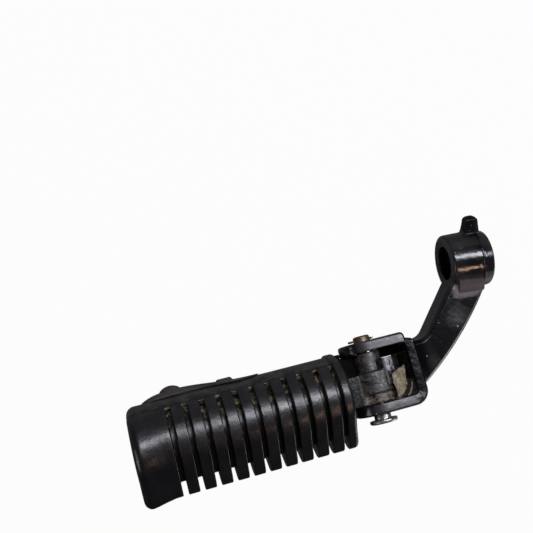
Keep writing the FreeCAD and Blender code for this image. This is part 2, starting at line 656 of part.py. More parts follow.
def build_grip_rubber():
    """Moulded rubber over the bar: slotted tread, collar, rounded belly and flared outer lip."""
    body = new_body("grip_rubber", GRIP_FRAME)
    tread = new_sketch(body, "TreadOutline", "YZ_Plane")
    lift(tread, "Sizes.grip_start")
    rectangle(tread, GRIP_NEAR, "-Sizes.seam_depth", GRIP_FAR, "Sizes.tread_height")
    tread_pad = extrude(body, "Pad", "TreadBlock", tread, "Sizes.grip_length")

    def shoulder(edge):
        return runs_along(edge, X_AXIS) and close(middle_of(edge).z, at("Sizes.tread_height"))

    dress(body, "Fillet", "Shoulders", tread_pad, shoulder, "Sizes.shoulder_radius")

    # The belly is a half round under the block; the collar rib at the knuckle end stands proud of it
    for name, radius, length in (
        ("Belly", BELLY_RADIUS, "Sizes.grip_length"),
        ("Collar", f"({BELLY_RADIUS} + Sizes.collar_rise)", "Sizes.collar_width"),
    ):
        section = new_sketch(body, f"{name}Outline", "YZ_Plane")
        lift(section, "Sizes.grip_start")
        quarter = f"{radius} * (1 - sqrt(0.5))"
        outline(section, [
            (f"Sizes.grip_offset - {radius}", "-Sizes.seam_depth", quarter),
            ("Sizes.grip_offset", f"-Sizes.seam_depth - {radius}", quarter),
            (f"Sizes.grip_offset + {radius}", "-Sizes.seam_depth"),
            (f"Sizes.grip_offset + {radius}", "Sizes.core_height / 2"),
            (f"Sizes.grip_offset - {radius}", "Sizes.core_height / 2"),
        ])
        collar_pad = extrude(body, "Pad", name, section, length)

    def outer_rim(edge):
        box = edge.BoundBox
        return close(box.XMin, at(GRIP_END)) and close(box.XMax, at(GRIP_END))

    def inner_rim(edge):
        box = edge.BoundBox
        return close(box.XMin, at("Sizes.grip_start")) and close(box.XMax, at("Sizes.grip_start"))

    ends = dress(body, "Fillet", "OuterRim", collar_pad, outer_rim, "Sizes.end_radius")
    dress(body, "Fillet", "InnerRim", ends, inner_rim, "Sizes.collar_radius")

    # The outer end flares up into a crowned lip behind a shallow valley
    stations = [
        (f"{GRIP_END} - {back} * Sizes.lip_length",
         f"Sizes.grip_width / 2 - {inset} * Sizes.shoulder_radius",
         f"Sizes.tread_height - {drop} * Sizes.shoulder_radius",
         f"Sizes.tread_height + {rise} * Sizes.lip_rise")
        for back, inset, drop, rise in ((1, 0.8, 0.8, -0.1), (0.6, 0.1, 0.55, 0.35), (0.2, 0.02, 0.25, 1), (0, 0.5, 0.5, 0.3))
    ]
    loft(body, "Lip", stations)

    # One slot over the tread and down both sides to the seam, repeated along the grip
    slot = new_sketch(body, "SlotOutline", "YZ_Plane")
    lift(slot, FIRST_SLOT)
    outside = "Sizes.grip_width"
    depth = "Sizes.slot_depth"
    soft = "Sizes.slot_inner_radius"
    round_over = f"-{soft} * (1 - sqrt(0.5))"
    outline(slot, [
        (f"{GRIP_NEAR} - {outside}", "-Sizes.seam_depth"),
        (f"{GRIP_NEAR} + {depth}", "-Sizes.seam_depth"),
        (f"{GRIP_NEAR} + {depth}", f"Sizes.tread_height - {depth} - {soft}", round_over),
        (f"{GRIP_NEAR} + {depth} + {soft}", f"Sizes.tread_height - {depth}"),
        (f"{GRIP_FAR} - {depth} - {soft}", f"Sizes.tread_height - {depth}", round_over),
        (f"{GRIP_FAR} - {depth}", f"Sizes.tread_height - {depth} - {soft}"),
        (f"{GRIP_FAR} - {depth}", "-Sizes.seam_depth"),
        (f"{GRIP_FAR} + {outside}", "-Sizes.seam_depth"),
        (f"{GRIP_FAR} + {outside}", f"Sizes.tread_height + {outside}"),
        (f"{GRIP_NEAR} - {outside}", f"Sizes.tread_height + {outside}"),
    ])
    slot_cut = extrude(body, "Pocket", "Slot", slot, "Sizes.slot_width", back=True)
    row = body.newObject("PartDesign::LinearPattern", "SlotRow")
    row.Originals = [slot_cut]
    row.Direction = (slot, ["N_Axis"])
    row.setExpression("Length", SLOT_ROW)
    row.setExpression("Occurrences", "Sizes.slot_count")
    body.Tip = row
    doc.recompute()

    # Cavity for the bar, the mouth for the neck and the sleeves for the screws
    gap = "Sizes.cavity_clearance"
    cavity = new_sketch(body, "CavityOutline", "YZ_Plane")
    lift(cavity, f"Sizes.core_start - {gap}")
    rectangle(
        cavity,
        f"{CORE_NEAR} - {gap}", f"-Sizes.core_height / 2 - {gap}",
        f"{CORE_FAR} + {gap}", f"Sizes.core_height / 2 + {gap}",
    )
    extrude(body, "Pocket", "Cavity", cavity, f"{CORE_END} - Sizes.core_start + 2 * {gap}", back=True)
    turned = Placement(Vector(), Rotation(Z_AXIS, -at("Sizes.pin_tilt")))
    mouth = new_sketch(body, "MouthOutline", "YZ_Plane", turned)
    rectangle(
        mouth,
        f"-Sizes.neck_width / 2 - {gap}", f"{FLANGE_BOTTOM} - {gap}",
        f"Sizes.neck_width / 2 + {gap}", f"{KNUCKLE_TOP} + {gap}",
    )
    extrude(body, "Pocket", "Mouth", mouth, f"Sizes.neck_end + {gap}", back=True)
    sleeves = new_sketch(body, "SleeveCircles", "XY_Plane")
    for place in (SENSOR_PLACE, BOLT_PLACE):
        circle(sleeves, place, "Sizes.grip_offset", "Sizes.screw_dia / 2 + Sizes.sleeve_clearance")
    extrude(body, "Pocket", "Sleeves", sleeves, f"2 * {SHOE_LEVEL}")
    return body


def build_retaining_plate():
    """Cast shoe that clamps the rubber from below and deepens round the bank sensor."""
    body = new_body("retaining_plate", GRIP_FRAME)

    def rim(thickness, angle):
        radius = f"({BELLY_RADIUS} + {thickness})"
        return f"{radius} * cos({angle})", f"(-Sizes.seam_depth - {radius} * sin({angle}))"

    wide, side = rim("Sizes.plate_thickness", "Sizes.plate_edge_angle")
    start_wide, start_side = rim("Sizes.plate_start_thickness", "Sizes.plate_edge_angle")
    tip_wide, tip_side = rim("Sizes.plate_thickness", "72")
    start_level = f"-({SHOE_LEVEL} - Sizes.plate_thickness + Sizes.plate_start_thickness)"
    length = f"({PLATE_END} - {PLATE_START})"
    stations = [
        (PLATE_START, start_wide, start_side, start_level),
        (f"{PLATE_START} + {length} * 0.42", wide, side, f"-({SHOE_LEVEL} + Sizes.plate_drop_mid)"),
        (f"{PLATE_START} + {length} * 0.72", wide, side, f"-({SHOE_LEVEL} + Sizes.plate_drop_deep)"),
        (f"{PLATE_START} + {length} * 0.90", f"0.92 * {wide}", side, f"-({SHOE_LEVEL} + Sizes.plate_drop_front)"),
        (PLATE_END, tip_wide, tip_side, f"-{SHOE_LEVEL}"),
    ]
    loft(body, "Shoe", stations)

    hollow = new_sketch(body, "HollowCircle", "YZ_Plane")
    circle(hollow, "Sizes.grip_offset", "-Sizes.seam_depth", f"{BELLY_RADIUS} + Sizes.plate_seat_gap")
    extrude(body, "Pocket", "Hollow", hollow, f"2 * {GRIP_END}", back=True)

    holes = new_sketch(body, "HoleCircles", "XY_Plane")
    for place in (SENSOR_PLACE, BOLT_PLACE):
        circle(holes, place, "Sizes.grip_offset", "Sizes.screw_dia / 2 + Sizes.screw_clearance")
    extrude(body, "Pocket", "Holes", holes, f"2 * {SENSOR_REACH}")

    # Flat seats sunk into the shoe for the sensor and the bolt's washer
    for name, place, seat, width in (
        ("Sensor", SENSOR_PLACE, SENSOR_SEAT, "Sizes.sensor_dia"),
        ("Bolt", BOLT_PLACE, BOLT_SEAT, "Sizes.washer_dia"),
    ):
        spot = new_sketch(body, f"{name}SeatCircle", "XY_Plane")
        lift(spot, f"-{seat}")
        circle(spot, place, "Sizes.grip_offset", f"{width} / 2 + Sizes.sleeve_clearance")
        extrude(body, "Pocket", f"{name}Seat", spot, SENSOR_REACH)
    return body


def build_bank_sensor():
    """Domed stud screwed up through the shoe; it touches the road first when leaning."""
    body = new_body("bank_sensor", GRIP_FRAME)
    profile = new_sketch(body, "SensorProfile", "XZ_Plane")
    lift(profile, "-Sizes.grip_offset")
    x = SENSOR_PLACE
    head = "Sizes.sensor_dia / 2"
    low = f"-{SENSOR_REACH}"
    outline(profile, [
        (x, "Sizes.screw_top"),
        (x, low),
        (f"{x} + {head} * 0.45", low),
        (f"{x} + {head} * 0.8", f"{low} + {head} * 0.25"),
        (f"{x} + {head}", f"{low} + {head} * 0.7"),
        (f"{x} + {head}", f"-{SENSOR_SEAT}"),
        (f"{x} + Sizes.screw_dia / 2", f"-{SENSOR_SEAT}"),
        (f"{x} + Sizes.screw_dia / 2", "Sizes.screw_top"),
    ])
    feature = body.newObject("PartDesign::Revolution", "Sensor")
    feature.Profile = profile
    feature.ReferenceAxis = (profile, ["Edge1"])
    feature.Angle = 360.0
    doc.recompute()
    return body


def build_plate_bolt():
    """Hexagon bolt that clamps the shoe and the rubber to the bar."""
    body = new_body("plate_bolt", GRIP_FRAME)
    seat = f"({BOLT_SEAT} + Sizes.washer_thickness)"
    shank = new_sketch(body, "ShankCircle", "XY_Plane")
    lift(shank, f"-{seat}")
    circle(shank, BOLT_PLACE, "Sizes.grip_offset", "Sizes.screw_dia / 2")
    extrude(body, "Pad", "Shank", shank, f"{seat} + Sizes.screw_top")
    head = new_sketch(body, "HeadOutline", "XY_Plane")
    lift(head, f"-{seat} - Sizes.bolt_head_height")
    corner = "Sizes.bolt_head_flats / sqrt(3)"
    outline(head, [
        (f"{BOLT_PLACE} + {corner} * cos({60 * turn_number})",
         f"Sizes.grip_offset + {corner} * sin({60 * turn_number})")
        for turn_number in range(6)
    ])
    head_pad = extrude(body, "Pad", "Head", head, "Sizes.bolt_head_height")

    def low_edge(edge):
        return close(edge.BoundBox.ZMax, -at(f"{seat} + Sizes.bolt_head_height"))

    dress(body, "Chamfer", "HeadEdge", head_pad, low_edge, "Sizes.bolt_head_height * 0.15")
    return body


def build_plate_washer():
    """Plain washer under the bolt's head."""
    body = new_body("plate_washer", GRIP_FRAME)
    ring = new_sketch(body, "RingCircles", "XY_Plane")
    lift(ring, f"-({BOLT_SEAT} + Sizes.washer_thickness)")
    circle(ring, BOLT_PLACE, "Sizes.grip_offset", "Sizes.washer_dia / 2")
    circle(ring, BOLT_PLACE, "Sizes.grip_offset", "Sizes.screw_dia / 2 + Sizes.screw_clearance")
    extrude(body, "Pad", "Ring", ring, "Sizes.washer_thickness")
    return body


def build_weld_bead(label, edge_height, arm, clevis):
    """Weld bead where one side of the arm meets the strap, trimmed to both of them."""
    lean = math.degrees(math.atan2(at("Sizes.pin_up"), at("Sizes.pin_forward")))
    side = Rotation(X_AXIS, lean).multVec(Y_AXIS)
    side = BRACKET_FRAME.Rotation.inverted().multVec(side)
    web = at(WEB_OUT)
    height = (at(edge_height) - side.x * web) / side.z
    along = side.cross(X_AXIS).normalize()
    length = at("Sizes.arm_thickness") - 2 * at("Sizes.arm_bevel")
    rod = doc.addObject("Part::Cylinder", f"{label}_rod")
    rod.setExpression("Radius", "Sizes.weld_radius")
    rod.setExpression("Height", "Sizes.arm_thickness - 2 * Sizes.arm_bevel")
    place = Vector(web, 0, height) - along * (length / 2)
    rod.Placement = BRACKET_FRAME.multiply(Placement(place, Rotation(Z_AXIS, along)))
    to_strap = doc.addObject("Part::Cut", f"{label}_on_strap")
    to_strap.Base = rod
    to_strap.Tool = clevis
    bead = doc.addObject("Part::Cut", label)
    bead.Base = to_strap
    bead.Tool = arm
    bead.Label = label
    doc.recompute()
    return bead


support_arm = build_support_arm()
clevis_bracket = build_clevis_bracket()
parts = [
    support_arm,
    clevis_bracket,
    build_weld_bead("weld_bead_outboard", "-Sizes.arm_root_below_pin", support_arm, clevis_bracket),
    build_weld_bead("weld_bead_inboard", "Sizes.arm_root_above_pin", support_arm, clevis_bracket),
    build_pivot_pin(),
    build_split_pin(),
    build_knuckle_bar(),
    build_grip_rubber(),
    build_retaining_plate(),
    build_bank_sensor(),
    build_plate_bolt(),
    build_plate_washer(),
]
doc.recompute()

for item in doc.Objects:
    if "Invalid" in item.State or "Error" in item.State:
        raise RuntimeError(f"{item.Name} failed: {item.State}")
os.makedirs("parts", exist_ok=True)
for part in parts:
    if part.Shape.isNull() or not part.Shape.isValid():
        raise RuntimeError(f"{part.Label} has no valid shape")
    print(part.Label, len(part.Shape.Solids), round(part.Shape.Volume, 1), part.Shape.BoundBox)
    part.Shape.exportStep(f"parts/{part.Label}.step")
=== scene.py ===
import json
import math

import bmesh
import bpy
from mathutils import Matrix, Vector, noise


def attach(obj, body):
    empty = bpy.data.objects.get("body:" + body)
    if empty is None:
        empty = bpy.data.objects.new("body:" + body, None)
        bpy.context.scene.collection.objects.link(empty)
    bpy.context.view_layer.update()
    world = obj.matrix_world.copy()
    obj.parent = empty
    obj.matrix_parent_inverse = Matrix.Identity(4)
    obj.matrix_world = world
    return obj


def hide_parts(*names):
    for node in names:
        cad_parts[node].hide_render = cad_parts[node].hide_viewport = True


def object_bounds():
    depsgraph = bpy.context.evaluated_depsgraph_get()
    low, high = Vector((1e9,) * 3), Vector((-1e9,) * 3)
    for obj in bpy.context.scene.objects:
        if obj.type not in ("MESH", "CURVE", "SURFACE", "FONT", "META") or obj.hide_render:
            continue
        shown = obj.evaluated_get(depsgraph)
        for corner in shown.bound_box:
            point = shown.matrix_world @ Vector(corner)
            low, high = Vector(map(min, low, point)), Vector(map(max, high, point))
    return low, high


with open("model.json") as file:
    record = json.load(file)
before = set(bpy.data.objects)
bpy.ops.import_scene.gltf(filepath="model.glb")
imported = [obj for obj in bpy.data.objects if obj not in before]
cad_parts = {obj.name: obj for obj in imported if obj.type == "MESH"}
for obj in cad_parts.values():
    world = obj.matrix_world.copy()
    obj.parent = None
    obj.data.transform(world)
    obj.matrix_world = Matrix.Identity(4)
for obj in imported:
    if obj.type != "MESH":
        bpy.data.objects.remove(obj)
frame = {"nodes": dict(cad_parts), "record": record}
nodes = frame["nodes"]
cad_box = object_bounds()
scene = bpy.context.scene

# Camera above the grip, looking down past the tread at the arm, as in the photograph. Its
# lens is given by the focal length in pixels of the photograph's frame.
photo_width = 533.0
focal_pixels = 700.0
camera_place = (0.127374, -0.195990, 0.264486)
to_right = Vector((-0.98315, 0.07508, 0.16670))
to_bottom = Vector((0.15549, 0.82297, 0.54639))
into_view = Vector((-0.09616, 0.56310, -0.82078))
camera_data = bpy.data.cameras.new("camera")
camera_data.sensor_width = 36.0
camera_data.lens = camera_data.sensor_width * focal_pixels / photo_width
camera_data.clip_start = 0.01
camera = bpy.data.objects.new("camera", camera_data)
scene.collection.objects.link(camera)
turn = Matrix((to_right, -to_bottom, -into_view)).transposed()
camera.matrix_world = Matrix.Translation(camera_place) @ turn.to_4x4()
scene.camera = camera


# Floor and room. The floor is a plain pale sheet just under the lowest point of the part,
# and the room around it is white to the eye and dim to the part.
def make_piece(name, shape):
    """An object made of a finished shape, put into the scene."""
    mesh = bpy.data.meshes.new(name)
    shape.to_mesh(mesh)
    shape.free()
    piece = bpy.data.objects.new(name, mesh)
    scene.collection.objects.link(piece)
    return piece


def new_material(name):
    """An empty material with its node tree and its main shader."""
    material = bpy.data.materials.new(name)
    material.use_nodes = True
    tree = material.node_tree
    return material, tree, tree.nodes["Principled BSDF"]


def add_node(tree, kind, feeds=None, **settings):
    """A shader node with its settings, and what feeds its sockets by name or number."""
    node = tree.nodes.new(kind)
    for key, value in settings.items():
        setattr(node, key, value)
    for key, value in (feeds or {}).items():
        if isinstance(value, bpy.types.NodeSocket):
            tree.links.new(value, node.inputs[key])
        else:
            node.inputs[key].default_value = value
    return node


floor_drop = 0.001
floor_half = 1.6
floor_centre = (0.08, 0.0, cad_box[0][2] - floor_drop)
floor_seen = 0.97
room_light = 0.03
room_seen = 1.0
white = (1.0, 1.0, 1.0, 1.0)
sheet = bmesh.new()
bmesh.ops.create_grid(sheet, x_segments=1, y_segments=1, size=floor_half)
bmesh.ops.translate(sheet, verts=sheet.verts, vec=floor_centre)
floor = make_piece("floor", sheet)

pale_floor, tree, shader = new_material("pale_floor")
shader.inputs["Base Color"].default_value = (0.25, 0.25, 0.25, 1.0)
shader.inputs["Roughness"].default_value = 0.9
glow = add_node(tree, "ShaderNodeEmission", {"Color": white, "Strength": 1.0})
seen = add_node(tree, "ShaderNodeLightPath").outputs["Is Camera Ray"]
share = add_node(tree, "ShaderNodeMath", {0: seen, 1: floor_seen}, operation="MULTIPLY")
mixed = add_node(
    tree, "ShaderNodeMixShader", {0: share.outputs[0], 1: shader.outputs[0], 2: glow.outputs[0]})
tree.links.new(mixed.outputs[0], tree.nodes["Material Output"].inputs["Surface"])
floor.data.materials.append(pale_floor)

world = bpy.data.worlds.new("room")
scene.world = world
world.use_nodes = True
tree = world.node_tree
backdrop = tree.nodes["Background"]
seen = add_node(tree, "ShaderNodeLightPath").outputs["Is Camera Ray"]
level = add_node(tree, "ShaderNodeMapRange", {0: seen, 1: 0.0, 2: 1.0, 3: room_light, 4: room_seen})
backdrop.inputs["Color"].default_value = white
tree.links.new(level.outputs[0], backdrop.inputs["Strength"])


# Lamps. A wide cool window in front gives the bands on the grip and the boss, a small warm
# lamp overhead the brown strip on the boss, and three weak ones reach the other sides.
def add_lamp(name, direction, distance, width, height, power, colour):
    """A soft rectangular lamp that looks at the middle of the part from a direction."""
    middle = Vector((0.08, 0.02, 0.02))
    data = bpy.data.lights.new(name, "AREA")
    data.shape = "RECTANGLE"
    data.size = width
    data.size_y = height
    data.energy = power
    data.color = colour
    lamp = bpy.data.objects.new(name, data)
    place = middle + Vector(direction).normalized() * distance
    look = Vector(direction).to_track_quat("Z", "Y")
    lamp.matrix_world = Matrix.Translation(place) @ look.to_matrix().to_4x4()
    scene.collection.objects.link(lamp)


cool = (0.90, 0.92, 1.0)
warm = (1.0, 0.62, 0.46)
plain = (1.0, 1.0, 1.0)
add_lamp("window_lamp", (-0.28, -0.78, 0.55), 0.8, width=0.60, height=0.16, power=5.4, colour=cool)
add_lamp("warm_lamp", (-0.40, -0.06, 0.93), 0.7, width=0.08, height=0.08, power=0.40, colour=warm)
add_lamp("side_lamp", (0.90, 0.05, 0.42), 0.8, width=0.35, height=0.35, power=0.9, colour=plain)
add_lamp("small_window", (-0.68, -0.55, 0.48), 0.8, width=0.16, height=0.12, power=0.9, colour=cool)
add_lamp("back_lamp", (-0.75, 0.65, 0.22), 0.9, width=0.60, height=0.30, power=1.5, colour=plain)


# Grip rubber: one moulding of black rubber, pushed over the bar and clamped from below. A
# seam runs around it where the two mould halves met, and its tread has eleven slots. Grey
# dust lies under the seam, and yellow dust is packed into the near ends of the slots.
def smooth_faces(shape):
    """Shades every face of a shape smoothly."""
    for face in shape.faces:
        face.smooth = True


def shade_evenly(piece):
    """Keeps large faces looking flat where they meet small rounded ones."""
    even = piece.modifiers.new("even_shading", "WEIGHTED_NORMAL")
    even.keep_sharp = False


def rounded_copy(name, node, body, radius, sharp, square, reshape=None):
    """A copy of a solid, joined up and with its sharp edges rounded, that stands for it."""
    weld_distance = 0.000004
    flat_angle = math.radians(0.8)
    margin = 0.0000001
    shape = bmesh.new()
    shape.from_mesh(nodes[node].data)
    bmesh.ops.remove_doubles(shape, verts=shape.verts, dist=weld_distance)
    bmesh.ops.dissolve_limit(
        shape, angle_limit=flat_angle, use_dissolve_boundaries=False,
        verts=shape.verts, edges=shape.edges, delimit=set())
    if reshape:
        reshape(shape)
    shape.transform(square.inverted())
    places = [vertex.co for vertex in shape.verts]
    low = [min(place[axis] for place in places) + margin for axis in range(3)]
    high = [max(place[axis] for place in places) - margin for axis in range(3)]
    bmesh.ops.recalc_face_normals(shape, faces=shape.faces)
    corners = [
        edge for edge in shape.edges
        if len(edge.link_faces) == 2 and edge.calc_face_angle() > math.radians(sharp)]
    bmesh.ops.bevel(
        shape, geom=corners, offset=radius, offset_type="OFFSET", segments=2,
        profile=0.5, affect="EDGES", clamp_overlap=False, material=-1)
    for vertex in shape.verts:
        vertex.co = [min(max(vertex.co[axis], low[axis]), high[axis]) for axis in range(3)]
    shape.transform(square)
    bmesh.ops.triangulate(shape, faces=[face for face in shape.faces if len(face.verts) > 4])
    smooth_faces(shape)
    piece = make_piece(name, shape)
    shade_evenly(piece)
    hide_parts(node)
    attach(piece, body)
    return piece


# The belly, under the seam. The grip's frame stands on the hinge pin's middle: its X runs out
# along the peg, which rises a little, and its Z stands square to the tread.
pivot = Vector(frame["record"]["behaviour"]["joints"][0]["pos_m"])
peg_rise = math.radians(6.5)
grip_frame = Matrix.Translation(pivot) @ Matrix.Rotation(-peg_rise, 4, "Y")
seam_level = -0.0033
belly_overlap = 0.00002


def keep_belly(shape):
    """Leaves the half of the moulding that lies under the seam."""
    shape.transform(grip_frame.inverted())
    cut = bmesh.ops.bisect_plane(
        shape, geom=shape.verts[:] + shape.edges[:] + shape.faces[:], dist=0.000002,
        plane_co=(0.0, 0.0, seam_level - belly_overlap), plane_no=(0.0, 0.0, 1.0),
        clear_outer=True)["geom_cut"]
    rim = [part for part in cut if isinstance(part, bmesh.types.BMEdge)]
    bmesh.ops.triangle_fill(shape, use_beauty=True, edges=rim)
    shape.transform(grip_frame)


belly = rounded_copy(
    "grip_belly", "grip_rubber", "peg", 0.0005, sharp=38.0, square=grip_frame,
    reshape=keep_belly)

# The skin above the seam, in millimetres in the grip's frame: a collar, the slotted tread and
# a lip at the outer end. Its near side is one large round, and its far side is square.
grip_start = 14.0
grip_end = 115.0
collar_round = 2.0
end_round = 4.0
tread_middle = 7.0
half_width = 19.0
tread_rise = 22.5
near_drop = 2.0
far_corner = 6.0
lip_drop = 0.8
lip_start = 100.0
lip_run = 9.0
lip_marks = (
    (0.0, tread_rise), (98.0, tread_rise), (101.0, 22.6), (105.0, 23.4), (109.0, 24.4), (112.2, 25.0))
slot_count = 11
slot_start = 18.7
slot_pitch = 7.65
slot_width = 2.4
slot_depth = 4.7
slot_corner = 5.0
slot_lip = ((0.5, 0.0), (0.22, 0.08), (0.06, 0.24), (0.0, 0.5))
slot_foot = ((0.02, -0.6), (0.25, 0.0))
skin_steps = 90


def outline_reach(angle, wide, high, corner, crown):
    """How far the skin lies from its middle, round on the near side, square beyond."""
    square_from = 85.0
    square_over = 40.0
    side, rise = abs(math.cos(angle)), math.sin(angle)
    reach = min(wide / max(side, 0.0001), high / max(rise, 0.0001))
    if reach * side > wide - corner and reach * rise > high - corner:
        along = (wide - corner) * side + (high - corner) * rise
        spare = along ** 2 - (wide - corner) ** 2 - (high - corner) ** 2 + corner ** 2
        reach = along + math.sqrt(max(spare, 0.0))
    full = 1.0 / math.sqrt((side / wide) ** 2 + (rise / crown) ** 2)
    blend = min(max((math.degrees(angle) - square_from) / square_over, 0.0), 1.0)
    return full + (reach - full) * blend * blend * (3.0 - 2.0 * blend)


def tread_height(place):
    """Height of the tread over the seam: level, then the lip at the outer end."""
    for (start, low), (end, high) in zip(lip_marks, lip_marks[1:]):
        if place <= end:
            part = (place - start) / (end - start)
            return low + (high - low) * part
    return lip_marks[-1][1]


def skin_stations():
    """Places along the grip, how far the skin is drawn in there, and whether in a slot."""
    stations = []
    for degrees in range(0, 91, 18):
        turned = math.radians(degrees)
        stations.append((
            grip_start + collar_round - collar_round * math.cos(turned),
            collar_round - collar_round * math.sin(turned), False))
    for count in range(slot_count):
        start = slot_start + slot_pitch * count
        end = start + slot_width
        stations += [(start - back, drawn, False) for back, drawn in slot_lip]
        stations += [(start + along, drawn, True) for along, drawn in slot_foot]
        stations += [(end - along, drawn, True) for along, drawn in reversed(slot_foot)]
        stations += [(end + back, drawn, False) for back, drawn in reversed(slot_lip)]
    stations += [(99.5 + 1.5 * count, 0.0, False) for count in range(8)]
    stations.append((grip_end - end_round, 0.0, False))
    for degrees in (12, 24, 36, 48, 60, 72, 82, 90):
        turned = math.radians(degrees)
        stations.append((
            grip_end - end_round + end_round * math.sin(turned),
            end_round - end_round * math.cos(turned), False))
    return stations


def build_skin():
    """A grid with a row for each station, wrapped over the grip and closed."""
    stations = skin_stations()
    rows = [[None] * (skin_steps + 1) for _ in stations]
    shape = bmesh.new()
    bmesh.ops.create_grid(shape, x_segments=len(stations) - 1, y_segments=skin_steps, size=0.5)
    for vertex in shape.verts:
        row = round((vertex.co.x + 0.5) * (len(stations) - 1))
        column = round((vertex.co.y + 0.5) * skin_steps)
        rows[row][column] = vertex
        x, drawn, in_slot = stations[row]
        angle = math.pi * column / skin_steps
        high = tread_height(x)
        if in_slot:
            low = high - slot_depth
            reach = outline_reach(angle, half_width - slot_depth, low, slot_corner, low - near_drop)
        else:
            drop = near_drop + lip_drop * min(max((x - lip_start) / lip_run, 0.0), 1.0)
            reach = outline_reach(angle, half_width, high, far_corner, high - drop)
        reach -= drawn
        y = tread_middle - reach * math.cos(angle)
        z = seam_level * 1000.0 + reach * math.sin(angle)
        vertex.co = Vector((x, y, z)) / 1000.0
    for row in (rows[0], rows[-1]):
        bmesh.ops.contextual_create(shape, geom=row)
    long_edges = [edge for edge in shape.edges if edge.is_boundary]
    bmesh.ops.holes_fill(shape, edges=long_edges, sides=0)
    bmesh.ops.recalc_face_normals(shape, faces=shape.faces)
    shape.transform(grip_frame)
    smooth_faces(shape)
    return shape


tread = make_piece("grip_tread", build_skin())
shade_evenly(tread)
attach(tread, "peg")


# The black rubber of both: a dull film and pale grit all over, with the dust in its places.
def ramp(tree, value, low, high, start=0.0, end=1.0):
    """A value mapped to a clamped range."""
    return add_node(tree, "ShaderNodeMapRange", {0: value, 1: low, 2: high, 3: start, 4: end}).outputs[0]


def speckle(tree, place, scale, low, high, detail=4.0):
    """Noise cut to a mask between two levels."""
    grain = add_node(tree, "ShaderNodeTexNoise", {"Vector": place, "Scale": scale, "Detail": detail})
    return ramp(tree, grain.outputs[0], low, high)


def blend_colour(tree, amount, first, second):
    """Two colours mixed by an amount."""
    mix = add_node(tree, "ShaderNodeMix", {0: amount, 6: first, 7: second}, data_type="RGBA")
    return mix.outputs[2]


def combine(tree, operation, first, second):
    """Two values joined by one step of arithmetic."""
    return add_node(tree, "ShaderNodeMath", {0: first, 1: second}, operation=operation).outputs[0]


def product(tree, *factors):
    """Masks multiplied with each other."""
    result = factors[0]
    for factor in factors[1:]:
        result = combine(tree, "MULTIPLY", result, factor)
    return result


def bumps(tree, place, layers):
    """Bump from noise layers of (scale, depth in metres)."""
    normal = None
    for scale, depth in layers:
        grain = add_node(tree, "ShaderNodeTexNoise", {"Vector": place, "Scale": scale, "Detail": 3.0})
        feeds = {"Height": grain.outputs[0], "Distance": depth, "Strength": 1.0}
        if normal is not None:
            feeds["Normal"] = normal
        normal = add_node(tree, "ShaderNodeBump", feeds).outputs[0]
    return normal


def part_place(tree):
    """Object coordinates, which are the part's own."""
    return add_node(tree, "ShaderNodeTexCoord").outputs["Object"]


def local_place(tree, matrix):
    """Object coordinates seen from a frame of the part."""
    feeds = {
        "Vector": part_place(tree), "Location": matrix.inverted().to_translation(),
        "Rotation": matrix.inverted().to_euler()}
    return add_node(tree, "ShaderNodeMapping", feeds).outputs[0]


def axes_of(tree, place):
    """The three coordinates of a place."""
    return add_node(tree, "ShaderNodeSeparateXYZ", {0: place}).outputs


clean_rubber = (0.0055, 0.0050, 0.0062, 1.0)
dull_film = (0.016, 0.014, 0.015, 1.0)
seam_grey = (0.050, 0.045, 0.042, 1.0)
pale_grit = (0.10, 0.09, 0.08, 1.0)
yellow_dust = (0.26, 0.21, 0.11, 1.0)
round_middle = (0.0, -tread_middle / 1000.0, -seam_level)
round_scale = (0.0, 1000.0 / half_width, 1000.0 / (tread_rise - near_drop))
black_rubber, tree, shader = new_material("black_rubber")
place = local_place(tree, grip_frame)
along, across, over = axes_of(tree, place)
centred = add_node(tree, "ShaderNodeVectorMath", {0: place, 1: round_middle}, operation="ADD")
scaled = add_node(
    tree, "ShaderNodeVectorMath", {0: centred.outputs[0], 1: round_scale}, operation="MULTIPLY")
from_middle = add_node(
    tree, "ShaderNodeVectorMath", {0: scaled.outputs[0]}, operation="LENGTH").outputs["Value"]
under_skin = ramp(tree, from_middle, 0.965, 0.93)
off_floor = ramp(tree, from_middle, 0.70, 0.74)
low_down = ramp(tree, over, 0.0080, 0.0)
over_seam = ramp(tree, over, -0.0046, -0.0034)
near_side = ramp(tree, across, 0.004, 0.003)
before_lip = ramp(tree, along, 0.1000, 0.0990)
past_collar = ramp(tree, along, 0.0170, 0.0180)
slot_ends = product(
    tree, under_skin, off_floor, low_down, over_seam, near_side, before_lip, past_collar)
slot_dust = product(tree, slot_ends, speckle(tree, place, 520.0, 0.50, 0.64))
film = product(tree, speckle(tree, place, 90.0, 0.42, 0.75), 0.35)
grit = product(tree, speckle(tree, place, 1500.0, 0.68, 0.75, 2.0), 0.30)
below_seam = ramp(tree, over, 0.002, -0.006)
seam_dust = product(tree, below_seam, speckle(tree, place, 210.0, 0.42, 0.64), 0.6)
colour = blend_colour(tree, film, clean_rubber, dull_film)
colour = blend_colour(tree, seam_dust, colour, seam_grey)
colour = blend_colour(tree, grit, colour, pale_grit)
colour = blend_colour(tree, slot_dust, colour, yellow_dust)
waves = add_node(tree, "ShaderNodeTexNoise", {"Vector": place, "Scale": 120.0}).outputs[0]
rough = combine(tree, "ADD", ramp(tree, waves, 0.3, 0.7, 0.26, 0.38), product(tree, slot_dust, 0.5))
tree.links.new(colour, shader.inputs["Base Color"])
tree.links.new(rough, shader.inputs["Roughness"])
tree.links.new(bumps(tree, place, [(95.0, 0.00035), (700.0, 0.00006)]), shader.inputs["Normal"])
tread.data.materials.append(black_rubber)
belly.data.materials.append(black_rubber)

